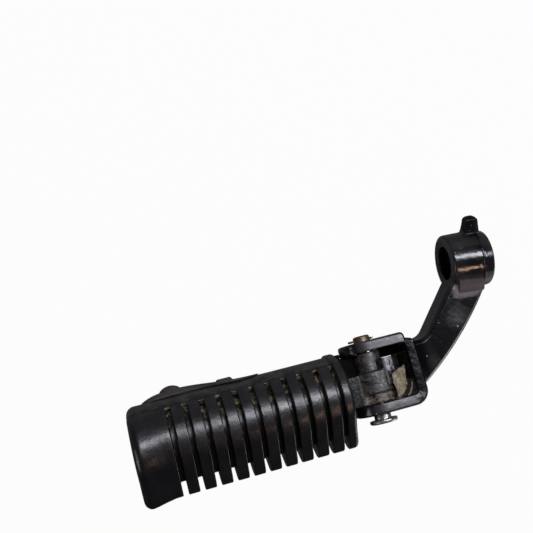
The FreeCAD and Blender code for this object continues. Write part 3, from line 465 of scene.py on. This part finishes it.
# Support arm, clevis and welds: forged and bent steel, welded together, then painted gloss
# black. The coat is uneven as cast and chipped here and there, matt where the arm leaves the
# boss with a painted reflection in lighter grey there, dusty on the ears' rims and dull on the
# web, the lug and the near edge. The web is also painted near black as painted shade.
pin_tilt = math.radians(45.0)
bracket_frame = grip_frame @ Matrix.Rotation(-pin_tilt, 4, "X")
part_frame = Matrix.Identity(4)
arm = rounded_copy(
    "arm", "support_arm", "bracket", 0.0004, sharp=30.0, square=part_frame)
clevis = rounded_copy(
    "clevis", "clevis_bracket", "bracket", 0.0004, sharp=30.0, square=bracket_frame)

clean_paint = (0.0050, 0.0045, 0.0060, 1.0)
hazy_paint = (0.020, 0.017, 0.019, 1.0)
painted_reflection_grey = (0.075, 0.060, 0.063, 1.0)
dusty_rim = (0.030, 0.028, 0.031, 1.0)
shaded_web = (0.0030, 0.0028, 0.0040, 1.0)
bare_chip = (0.34, 0.32, 0.31, 1.0)
near_edge_normal = (0.33, -0.74, 0.59)
black_paint, tree, shader = new_material("gloss_black_paint")
place = part_place(tree)
outboard, forward, up = axes_of(tree, place)
from_pin, across, along_pin = axes_of(tree, local_place(tree, bracket_frame))
normal = add_node(tree, "ShaderNodeNewGeometry").outputs["Normal"]
facing = add_node(
    tree, "ShaderNodeVectorMath", {0: normal, 1: near_edge_normal}, operation="DOT_PRODUCT")
chips = speckle(tree, place, 560.0, 0.71, 0.74)
haze = speckle(tree, place, 75.0, 0.40, 0.68)
# Painted reflection: a lighter grey patch where the arm leaves the boss stands in for a reflection.
boss_reflection_patch = product(
    tree, ramp(tree, forward, 0.0015, 0.0045), ramp(tree, forward, 0.0092, 0.0076),
    ramp(tree, up, 0.0060, 0.0100), ramp(tree, outboard, 0.0120, 0.0080), 0.9)
matt = product(
    tree, ramp(tree, forward, -0.0020, 0.0000), ramp(tree, forward, 0.0096, 0.0080),
    ramp(tree, up, 0.0060, 0.0090), ramp(tree, outboard, 0.0120, 0.0090), 0.35)
# Painted shade: the web is darkened to near black, besides being dulled.
on_web = product(
    tree, ramp(tree, from_pin, -0.0152, -0.0162), ramp(tree, from_pin, -0.0275, -0.0240),
    ramp(tree, along_pin, 0.0135, 0.0105), ramp(tree, across, -0.0085, -0.0100))
on_rim = product(
    tree, ramp(tree, across, -0.0098, -0.0112), ramp(tree, from_pin, -0.0165, -0.0125),
    ramp(tree, on_web, 1.0, 0.0), 0.8)
on_lug = ramp(tree, forward, -0.0132, -0.0142)
on_edge = product(
    tree, ramp(tree, facing.outputs["Value"], 0.942, 0.965), ramp(tree, from_pin, -0.0260, -0.0285),
    ramp(tree, forward, 0.0010, 0.0040), 0.85)
dull = combine(tree, "MAXIMUM", combine(tree, "MAXIMUM", on_web, on_lug), on_edge)
colour = blend_colour(tree, haze, clean_paint, hazy_paint)
colour = blend_colour(tree, boss_reflection_patch, colour, painted_reflection_grey)
colour = blend_colour(tree, on_rim, colour, dusty_rim)
colour = blend_colour(tree, on_web, colour, shaded_web)
colour = blend_colour(tree, chips, colour, bare_chip)
rough = combine(tree, "ADD", ramp(tree, haze, 0.0, 1.0, 0.15, 0.25), matt)
rough = combine(tree, "ADD", rough, product(tree, on_rim, 0.22))
tree.links.new(colour, shader.inputs["Base Color"])
tree.links.new(rough, shader.inputs["Roughness"])
tree.links.new(ramp(tree, dull, 0.0, 1.0, 0.5, 0.05), shader.inputs["Specular IOR Level"])
tree.links.new(bumps(tree, place, [(110.0, 0.00028), (480.0, 0.00008)]), shader.inputs["Normal"])
arm.data.materials.append(black_paint)
clevis.data.materials.append(black_paint)
for name in ("weld_bead_outboard", "weld_bead_inboard"):
    for material_slot in nodes[name].material_slots:
        material_slot.material = black_paint

# Parting line: the low seam that the forging dies left around the boss, part of the arm and
# under the same paint. It is a thin rod bent over the boss's near side and top.
line_radius = 0.0007
line_place = (-0.0046, -0.0138, 0.0)
line_start = math.radians(20.0)
line_sweep = math.radians(-165.0)
line_shape = bmesh.new()
bmesh.ops.create_circle(
    line_shape, segments=10, radius=line_radius, matrix=Matrix.Translation(line_place))
bmesh.ops.spin(
    line_shape, geom=line_shape.verts[:] + line_shape.edges[:], cent=(0.0, 0.0, 0.0),
    axis=(1.0, 0.0, 0.0), angle=line_sweep, steps=60)
bmesh.ops.rotate(
    line_shape, verts=line_shape.verts, cent=(0.0, 0.0, 0.0),
    matrix=Matrix.Rotation(line_start, 3, "X"))
bmesh.ops.holes_fill(line_shape, edges=line_shape.edges, sides=0)
bmesh.ops.recalc_face_normals(line_shape, faces=line_shape.faces)
smooth_faces(line_shape)
parting_line = make_piece("parting_line", line_shape)
parting_line.data.materials.append(black_paint)
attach(parting_line, "bracket")


# Tongue inside the clevis, behind the knuckle's heel: a short dark block put where the clevis
# shows only shade. Its near-black colour is painted shade, with a little grime in it.
def block(name, low, high, radius, body):
    """A plain block between two corners of the bracket's frame, with rounded edges."""
    low, high = Vector(low), Vector(high)
    shape = bmesh.new()
    bmesh.ops.create_cube(shape, size=1.0)
    bmesh.ops.scale(shape, verts=shape.verts, vec=high - low)
    bmesh.ops.translate(shape, verts=shape.verts, vec=(low + high) / 2.0)
    bmesh.ops.bevel(
        shape, geom=shape.edges[:], offset=radius, offset_type="OFFSET", segments=3,
        profile=0.5, affect="EDGES", material=-1)
    shape.transform(bracket_frame)
    piece = make_piece(name, shape)
    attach(piece, body)
    return piece


# Painted shade: a near-black matt finish with a little grime, for pieces that stand in the clevis's
# shade.
shade_black = (0.0022, 0.0020, 0.0022, 1.0)
grimy_shade_black = (0.0050, 0.0042, 0.0038, 1.0)
painted_shade_black, tree, shader = new_material("painted_shade_black")
place = part_place(tree)
grime = speckle(tree, place, 420.0, 0.40, 0.65)
tree.links.new(blend_colour(tree, grime, shade_black, grimy_shade_black), shader.inputs["Base Color"])
tree.links.new(ramp(tree, grime, 0.0, 1.0, 0.80, 0.95), shader.inputs["Roughness"])
tree.links.new(bumps(tree, place, [(380.0, 0.0002)]), shader.inputs["Normal"])
shader.inputs["Specular IOR Level"].default_value = 0.05
tongue_low = (-0.0195, 0.0050, -0.0145)
tongue_high = (-0.0086, 0.0090, -0.0079)
shade_tongue = block("shade_tongue", tongue_low, tongue_high, 0.0006, "bracket")
shade_tongue.data.materials.append(painted_shade_black)

# Knuckle and bar: one dark steel forging, oily and dusty, with a heel worn bright by the
# stop. A web joins its barrel to the bar behind the collar, and the web's foot runs in an
# arc around the end of the lower ear, clear of it as the peg folds.
knuckle = rounded_copy(
    "knuckle", "knuckle_bar", "peg", 0.0006, sharp=35.0, square=grip_frame)
web_low = (0.0050, 0.0, -0.01222)
web_high = (0.0146, 0.0074, 0.0010)
knuckle_web = block("knuckle_web", web_low, web_high, 0.0002, "peg")

foot_inner = 0.0129
foot_outer = 0.0146
foot_bottom = -0.0142
foot_top = -0.0120
foot_sweep = math.radians(33.0)
foot_size = (foot_outer - foot_inner, foot_top - foot_bottom, 1.0)
foot_middle = ((foot_inner + foot_outer) / 2.0, 0.0, (foot_bottom + foot_top) / 2.0)
foot_shape = bmesh.new()
bmesh.ops.create_grid(foot_shape, x_segments=1, y_segments=1, size=0.5)
bmesh.ops.delete(foot_shape, geom=foot_shape.faces[:], context="FACES_ONLY")
bmesh.ops.scale(foot_shape, verts=foot_shape.verts, vec=foot_size)
bmesh.ops.rotate(
    foot_shape, verts=foot_shape.verts, cent=(0.0, 0.0, 0.0),
    matrix=Matrix.Rotation(math.radians(90.0), 3, "X"))
bmesh.ops.translate(foot_shape, verts=foot_shape.verts, vec=foot_middle)
bmesh.ops.spin(
    foot_shape, geom=foot_shape.verts[:] + foot_shape.edges[:], cent=(0.0, 0.0, 0.0),
    axis=(0.0, 0.0, 1.0), angle=foot_sweep, steps=10)
bmesh.ops.holes_fill(foot_shape, edges=foot_shape.edges, sides=0)
bmesh.ops.recalc_face_normals(foot_shape, faces=foot_shape.faces)
foot_shape.transform(bracket_frame)
web_foot = make_piece("web_foot", foot_shape)
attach(web_foot, "peg")

dark_steel = (0.012, 0.012, 0.016, 1.0)
brown_dirt = (0.075, 0.060, 0.047, 1.0)
tan_dirt = (0.16, 0.12, 0.085, 1.0)
painted_crease_shade = (0.003, 0.003, 0.003, 1.0)
bright_steel = (0.46, 0.47, 0.52, 1.0)
neck_shade_black = (0.003, 0.0025, 0.0025, 1.0)
worn_forging, tree, shader = new_material("worn_forging")
place = local_place(tree, bracket_frame)
from_pin, across, along_pin = axes_of(tree, place)
dirt = speckle(tree, place, 620.0, 0.38, 0.66, 6.0)
by_head = ramp(tree, along_pin, 0.0070, 0.0085)
on_heel = product(
    tree, ramp(tree, from_pin, -0.0100, -0.0090), ramp(tree, from_pin, -0.0042, -0.0050),
    ramp(tree, along_pin, -0.0008, -0.0020), ramp(tree, across, -0.0070, -0.0080))
worn = product(tree, on_heel, speckle(tree, place, 600.0, 0.38, 0.58))
waver = add_node(tree, "ShaderNodeTexNoise", {"Vector": place, "Scale": 160.0}).outputs[0]
wavy = combine(tree, "ADD", along_pin, product(tree, waver, 0.003))
# Painted shade: two thin wavy black lines below the knuckle's steps.
lower_crease_shade = product(tree, ramp(tree, wavy, 0.0020, 0.0026), ramp(tree, wavy, 0.0034, 0.0028))
upper_crease_shade = product(tree, ramp(tree, wavy, 0.0086, 0.0092), ramp(tree, wavy, 0.0100, 0.0094))
crease_shades = combine(tree, "ADD", lower_crease_shade, upper_crease_shade)
# Painted shade: the neck beside the collar is darkened to near black.
neck_shade = ramp(tree, from_pin, 0.0074, 0.0094)
colour = blend_colour(tree, product(tree, dirt, 0.7), dark_steel, brown_dirt)
colour = blend_colour(tree, product(tree, by_head, dirt), colour, tan_dirt)
colour = blend_colour(tree, product(tree, crease_shades, 0.9), colour, painted_crease_shade)
colour = blend_colour(tree, worn, colour, bright_steel)
colour = blend_colour(tree, neck_shade, colour, neck_shade_black)
tree.links.new(colour, shader.inputs["Base Color"])
tree.links.new(product(tree, worn, 0.3), shader.inputs["Metallic"])
tree.links.new(ramp(tree, dirt, 0.0, 1.0, 0.26, 0.60), shader.inputs["Roughness"])
tree.links.new(ramp(tree, neck_shade, 0.0, 1.0, 0.5, 0.15), shader.inputs["Specular IOR Level"])
tree.links.new(bumps(tree, place, [(380.0, 0.00022), (1100.0, 0.00010)]), shader.inputs["Normal"])
knuckle.data.materials.append(worn_forging)
# The web and its foot get the same near-black painted shade.
knuckle_web.data.materials.append(painted_shade_black)
web_foot.data.materials.append(painted_shade_black)

# Hinge pin: turned and plated steel, pushed through both ears and the knuckle. Its head is
# bright with dark stains, and the end that stands out of the lower ear has gone brown.
pin = rounded_copy(
    "hinge_pin", "pivot_pin", "bracket", 0.0003, sharp=35.0, square=bracket_frame)
plating = (0.42, 0.41, 0.42, 1.0)
grey_stain = (0.075, 0.062, 0.055, 1.0)
red_rust = (0.06, 0.022, 0.008, 1.0)
brown_rust = (0.085, 0.045, 0.013, 1.0)
plated_pin, tree, shader = new_material("plated_pin")
place = local_place(tree, bracket_frame)
along_pin = axes_of(tree, place)["Z"]
stain = speckle(tree, place, 420.0, 0.44, 0.62)
at_end = ramp(tree, along_pin, -0.0165, -0.0175)
colour = blend_colour(tree, product(tree, stain, 0.8), plating, grey_stain)
colour = blend_colour(tree, product(tree, at_end, stain), colour, red_rust)
colour = blend_colour(tree, product(tree, at_end, 0.8), colour, brown_rust)
rough = combine(tree, "ADD", ramp(tree, stain, 0.0, 1.0, 0.20, 0.50), product(tree, at_end, 0.3))
tree.links.new(colour, shader.inputs["Base Color"])
tree.links.new(ramp(tree, stain, 0.0, 1.0, 1.0, 0.4), shader.inputs["Metallic"])
tree.links.new(rough, shader.inputs["Roughness"])
tree.links.new(bumps(tree, place, [(700.0, 0.00012)]), shader.inputs["Normal"])
pin.data.materials.append(plated_pin)


# Split pin: soft steel wire, folded through the end of the hinge pin and spread, gone brown
# with rust.
def rusty_metal(name, clean, rusty, scale, edges, rough, shine, bump):
    """Steel under patches of rust, from clean and shiny to rusty and dry."""
    material, tree, shader = new_material(name)
    place = part_place(tree)
    rust = speckle(tree, place, scale, *edges)
    tree.links.new(blend_colour(tree, rust, clean, rusty), shader.inputs["Base Color"])
    tree.links.new(ramp(tree, rust, 0.0, 1.0, shine, 0.1), shader.inputs["Metallic"])
    tree.links.new(ramp(tree, rust, 0.0, 1.0, *rough), shader.inputs["Roughness"])
    tree.links.new(bumps(tree, place, [bump]), shader.inputs["Normal"])
    return material


rusty_wire = rusty_metal(
    "rusty_wire", clean=(0.22, 0.15, 0.07, 1.0), rusty=(0.075, 0.035, 0.018, 1.0),
    scale=380.0, edges=(0.40, 0.60), rough=(0.35, 0.75), shine=0.8, bump=(800.0, 0.00008))
for material_slot in nodes["split_pin"].material_slots:
    material_slot.material = rusty_wire

# Shoe below the rubber: a dark casting under a dry coat of road dust, clamped against the
# rubber by the bolt and the sensor.
shoe = rounded_copy(
    "shoe", "retaining_plate", "peg", 0.0003, sharp=35.0, square=grip_frame)
dark_casting = (0.022, 0.020, 0.020, 1.0)
road_dust = (0.062, 0.055, 0.050, 1.0)
dark_grain = (0.015, 0.013, 0.013, 1.0)
dusty_metal, tree, shader = new_material("dusty_metal")
place = part_place(tree)
dust = speckle(tree, place, 70.0, 0.30, 0.62)
grains = product(tree, speckle(tree, place, 800.0, 0.56, 0.68), 0.6)
colour = blend_colour(tree, dust, dark_casting, road_dust)
colour = blend_colour(tree, grains, colour, dark_grain)
tree.links.new(colour, shader.inputs["Base Color"])
tree.links.new(bumps(tree, place, [(200.0, 0.0005), (1200.0, 0.0001)]), shader.inputs["Normal"])
shader.inputs["Roughness"].default_value = 0.66
shoe.data.materials.append(dusty_metal)

# Bolt, washer and bank sensor below the shoe: plain steel that has gone dull and brown. The
# sensor touches the road first when the motorcycle leans too far.
bolt = rounded_copy(
    "bolt", "plate_bolt", "peg", 0.0004, sharp=25.0, square=grip_frame)
dull_steel = rusty_metal(
    "dull_steel", clean=(0.09, 0.075, 0.06, 1.0), rusty=(0.035, 0.022, 0.016, 1.0),
    scale=260.0, edges=(0.42, 0.60), rough=(0.45, 0.80), shine=0.5, bump=(500.0, 0.0002))
bolt.data.materials.append(dull_steel)
for name in ("plate_washer", "bank_sensor"):
    for material_slot in nodes[name].material_slots:
        material_slot.material = dull_steel


# Dry leaf and grass blade caught in the clevis: thin crumpled flakes. The leaf sticks to the
# knuckle's greasy side and moves with the peg, and the blade sticks to the strap.
def flake(name, corners, thickness, waves, body):
    """A thin, crumpled flake cut to an outline in the bracket's frame."""
    shape = bmesh.new()
    rim = bmesh.ops.create_circle(
        shape, cap_ends=True, segments=len(corners), radius=0.001)["verts"]
    for vertex, corner in zip(rim, corners):
        vertex.co = Vector(corner)
    bmesh.ops.triangulate(shape, faces=shape.faces)
    bmesh.ops.subdivide_edges(shape, edges=shape.edges, cuts=3, use_grid_fill=True)
    for vertex in shape.verts:
        vertex.co += noise.noise_vector(vertex.co * 420.0) * waves
    shape.transform(bracket_frame)
    bmesh.ops.recalc_face_normals(shape, faces=shape.faces)
    smooth_faces(shape)
    piece = make_piece(name, shape)
    wall = piece.modifiers.new("thickness", "SOLIDIFY")
    wall.thickness = thickness
    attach(piece, body)
    return piece


noise.seed_set(6)
leaf_outline = [
    (-0.0062, -0.0112, 0.0010), (-0.0085, -0.0110, -0.0004), (-0.0105, -0.0104, -0.0003),
    (-0.0136, -0.0096, -0.0022), (-0.0132, -0.0097, 0.0010), (-0.0128, -0.0098, 0.0040),
    (-0.0124, -0.0102, 0.0066), (-0.0108, -0.0108, 0.0092), (-0.0090, -0.0113, 0.0108),
    (-0.0066, -0.0117, 0.0119), (-0.0064, -0.0116, 0.0096), (-0.0058, -0.0115, 0.0070),
    (-0.0056, -0.0114, 0.0040)]
blade_outline = [
    (-0.0150, -0.0098, 0.0060), (-0.0153, -0.0098, 0.0066), (-0.0144, -0.0102, 0.0090),
    (-0.0130, -0.0104, 0.0112), (-0.0116, -0.0106, 0.0120), (-0.0112, -0.0106, 0.0119),
    (-0.0124, -0.0104, 0.0108), (-0.0138, -0.0102, 0.0086)]
leaf = flake("leaf_flake", leaf_outline, thickness=0.00018, waves=0.0005, body="peg")
blade = flake("grass_blade", blade_outline, thickness=0.00015, waves=0.0002, body="bracket")

leaf_tan = (0.31, 0.26, 0.18, 1.0)
leaf_brown = (0.12, 0.095, 0.062, 1.0)
leaf_speck = (0.05, 0.038, 0.026, 1.0)
dry_leaf, tree, shader = new_material("dry_leaf")
place = part_place(tree)
blotch = speckle(tree, place, 380.0, 0.38, 0.62)
specks = speckle(tree, place, 1100.0, 0.54, 0.66, 2.0)
colour = blend_colour(tree, blotch, leaf_tan, leaf_brown)
colour = blend_colour(tree, specks, colour, leaf_speck)
tree.links.new(colour, shader.inputs["Base Color"])
tree.links.new(bumps(tree, place, [(500.0, 0.0004)]), shader.inputs["Normal"])
shader.inputs["Roughness"].default_value = 0.85
leaf.data.materials.append(dry_leaf)
blade.data.materials.append(dry_leaf)

# Colours are shown as they are written.
scene.view_settings.view_transform = "Standard"
